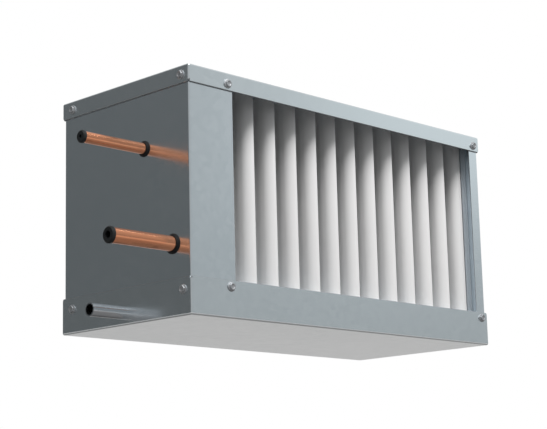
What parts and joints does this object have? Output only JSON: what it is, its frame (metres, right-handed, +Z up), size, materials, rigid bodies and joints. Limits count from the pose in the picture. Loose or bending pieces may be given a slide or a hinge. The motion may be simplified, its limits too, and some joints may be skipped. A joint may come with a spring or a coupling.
{
  "type": "duct cooling coil",
  "caption": "Box-shaped cooling coil for a rectangular air duct, with copper pipe stubs, a drain and a droplet eliminator of white blades.",
  "frame": {"origin": "centre of the casing's underside", "axes": "+X to the right as seen from the air outlet, pipes leave towards -X, air leaves towards -Y, +Z up"},
  "size_m": [0.5688, 0.2136, 0.258],
  "materials": {
    "galvanised_tray": "galvanised sheet, satin",
    "galvanised_cover": "galvanised sheet, satin",
    "galvanised_side": "galvanised sheet, satin",
    "screw_steel": "zinc plated",
    "copper": "drawn copper, bright",
    "brass": "turned brass",
    "fin_aluminium": "plain aluminium foil",
    "coil_frame": "galvanised sheet",
    "eliminator_frame": "galvanised sheet",
    "blade_plastic": "white polypropylene, satin",
    "comb_plastic": "dark moulded plastic",
    "pan_steel": "stainless sheet",
    "foam": "closed-cell foam",
    "drain_steel": "stainless tube",
    "rubber": "black rubber",
    "plug_plastic": "black moulded plastic"
  },
  "bodies": {
    "casing": {"base_tray": "galvanised_tray", "blade_01": "blade_plastic", "blade_02": "blade_plastic", "blade_03": "blade_plastic", "blade_04": "blade_plastic", "blade_05": "blade_plastic", "blade_06": "blade_plastic", "blade_07": "blade_plastic", "blade_08": "blade_plastic", "blade_09": "blade_plastic", "blade_10": "blade_plastic", "blade_11": "blade_plastic", "blade_12": "blade_plastic", "blade_13": "blade_plastic", "coil_bottom_plate": "coil_frame", "coil_fins": "fin_aluminium", "coil_hairpins": "copper", "coil_top_plate": "coil_frame", "comb_bottom": "comb_plastic", "comb_top": "comb_plastic", "cover_screws": "screw_steel", "distributor": "brass", "drain_pipe": "drain_steel", "drip_pan": "pan_steel", "eliminator_rail_bottom": "eliminator_frame", "eliminator_rail_top": "eliminator_frame", "eliminator_side_left": "eliminator_frame", "eliminator_side_right": "eliminator_frame", "feeder_tubes": "copper", "grommet_liquid": "rubber", "grommet_suction": "rubber", "liquid_pipe": "copper", "outlet_stubs": "copper", "pan_insulation": "foam", "return_bends": "copper", "side_panel_left": "galvanised_side", "side_panel_right": "galvanised_side", "suction_header": "copper", "suction_pipe": "copper", "support_rails": "coil_frame", "top_cover": "galvanised_cover", "tray_screws": "screw_steel", "tube_sheet_left": "coil_frame", "tube_sheet_right": "coil_frame"},
    "liquid_plug": {"plug_liquid": "plug_plastic"},
    "suction_plug": {"plug_suction": "plug_plastic"}
  },
  "joints": [
    {"name": "liquid_plug_pull", "type": "slide", "parent": "casing", "child": "liquid_plug", "axis": [-1, 0, 0], "range_m": [0, 0.06]},
    {"name": "suction_plug_pull", "type": "slide", "parent": "casing", "child": "suction_plug", "axis": [-1, 0, 0], "range_m": [0, 0.06]}
  ]
}
